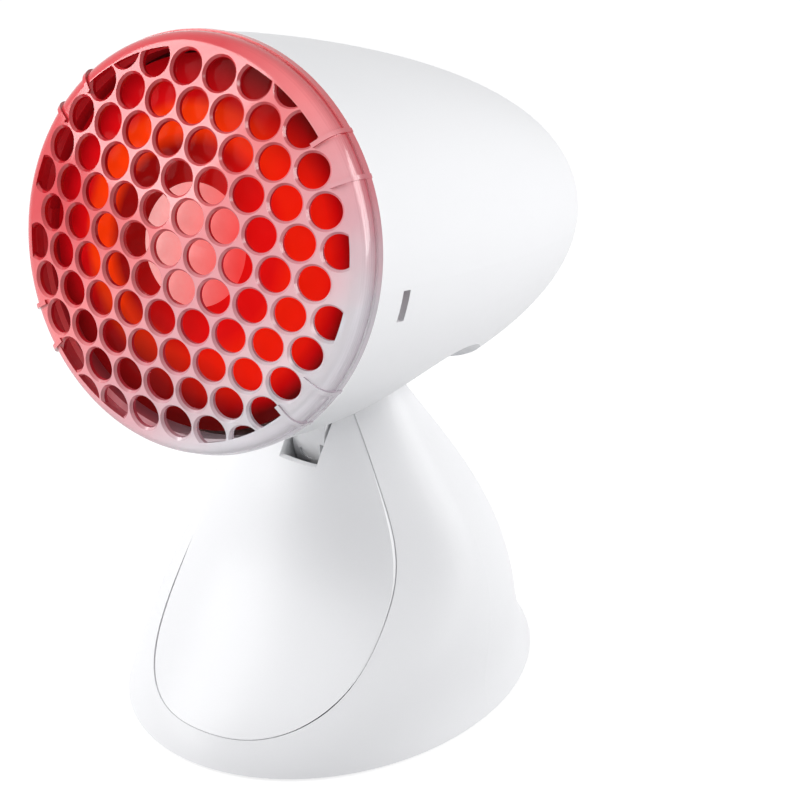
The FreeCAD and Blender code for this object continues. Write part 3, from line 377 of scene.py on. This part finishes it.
# ---------------------------------------------------------------- studio
def seen_directly(tree):
    """One for rays that show the background to the camera, in a reflection or through glass."""
    path = tree.nodes.new("ShaderNodeLightPath")
    straight = maths(tree, "MAXIMUM", path.outputs["Is Camera Ray"], path.outputs["Is Glossy Ray"])
    return maths(tree, "MAXIMUM", straight, path.outputs["Is Transmission Ray"])


floor_mat, floor_tree, floor_shader, floor_out = new_material("floor")
floor_tint = mottle(floor_tree, grain(floor_tree, 3.0), (0.34, 0.34, 0.35), (0.36, 0.36, 0.37))
floor_tree.links.new(floor_tint, floor_shader.inputs["Base Color"])
floor_shader.inputs["Roughness"].default_value = 0.9
floor_glow = floor_tree.nodes.new("ShaderNodeEmission")
floor_lift = 0.80
lift = maths(floor_tree, "MULTIPLY", seen_directly(floor_tree), floor_lift)
floor_tree.links.new(lift, floor_glow.inputs["Strength"])
floor_sum = floor_tree.nodes.new("ShaderNodeAddShader")
floor_tree.links.new(floor_shader.outputs["BSDF"], floor_sum.inputs[0])
floor_tree.links.new(floor_glow.outputs["Emission"], floor_sum.inputs[1])
floor_tree.links.new(floor_sum.outputs["Shader"], floor_out.inputs["Surface"])
floor_size = 6.0
floor_drop = 0.0003
bpy.ops.mesh.primitive_plane_add(size=floor_size, location=(0, 0, -floor_drop))
floor = bpy.context.object
floor.name = "studio_floor"
floor.data.materials.append(floor_mat)

world = bpy.data.worlds.new("studio")
bpy.context.scene.world = world
world.use_nodes = True
sky = world.node_tree
sky.nodes.clear()
sky_out = sky.nodes.new("ShaderNodeOutputWorld")
seen = sky.nodes.new("ShaderNodeBackground")
seen.inputs["Color"].default_value = (1.0, 1.0, 1.0, 1.0)
seen.inputs["Strength"].default_value = 1.0
lit = sky.nodes.new("ShaderNodeBackground")
lit.inputs["Color"].default_value = (0.93, 0.95, 1.0, 1.0)
lit.inputs["Strength"].default_value = 0.20
mix = sky.nodes.new("ShaderNodeMixShader")
sky.links.new(seen_directly(sky), mix.inputs["Fac"])
sky.links.new(lit.outputs["Background"], mix.inputs[1])
sky.links.new(seen.outputs["Background"], mix.inputs[2])
sky.links.new(mix.outputs["Shader"], sky_out.inputs["Surface"])


def bearing(turn, rise):
    """Way from the lamp, turned from its front and raised above the floor, in degrees."""
    turn, rise = math.radians(turn), math.radians(rise)
    level = math.cos(rise)
    return Vector((math.sin(turn) * level, -math.cos(turn) * level, math.sin(rise)))


softbox_aim = Vector((0.0, 0.02, 0.14))
softbox_distance = 1.2
softbox_width = 0.8
softbox_height = 0.9


def softbox(name, turn, rise, power):
    """Soft lamp on a bearing, aimed at the middle of the part."""
    way = bearing(turn, rise)
    lamp = bpy.data.lights.new(name, "AREA")
    lamp.shape = "RECTANGLE"
    lamp.size = softbox_width
    lamp.size_y = softbox_height
    lamp.energy = power
    item = bpy.data.objects.new(name, lamp)
    bpy.context.scene.collection.objects.link(item)
    item.location = softbox_aim + way * softbox_distance
    item.rotation_euler = (-way).to_track_quat("-Z", "Y").to_euler()


softbox("left_softbox", -46, 28, 14.0)
softbox("right_softbox", 106, 24, 12.6)

# ---------------------------------------------------------------- camera
scene = bpy.context.scene
camera_place = Vector((0.46035, -0.64544, 0.50299))
camera_turn = 33.687
camera_rise = 26.55
optics = bpy.data.cameras.new("camera")
optics.lens = 112.5
optics.sensor_width = 36.0
optics.clip_start = 0.01
optics.clip_end = 20.0
camera = bpy.data.objects.new("camera", optics)
scene.collection.objects.link(camera)
camera.location = camera_place
toward_part = -bearing(camera_turn, camera_rise)
camera.rotation_euler = toward_part.to_track_quat("-Z", "Y").to_euler()
scene.camera = camera
scene.view_settings.view_transform = "Standard"
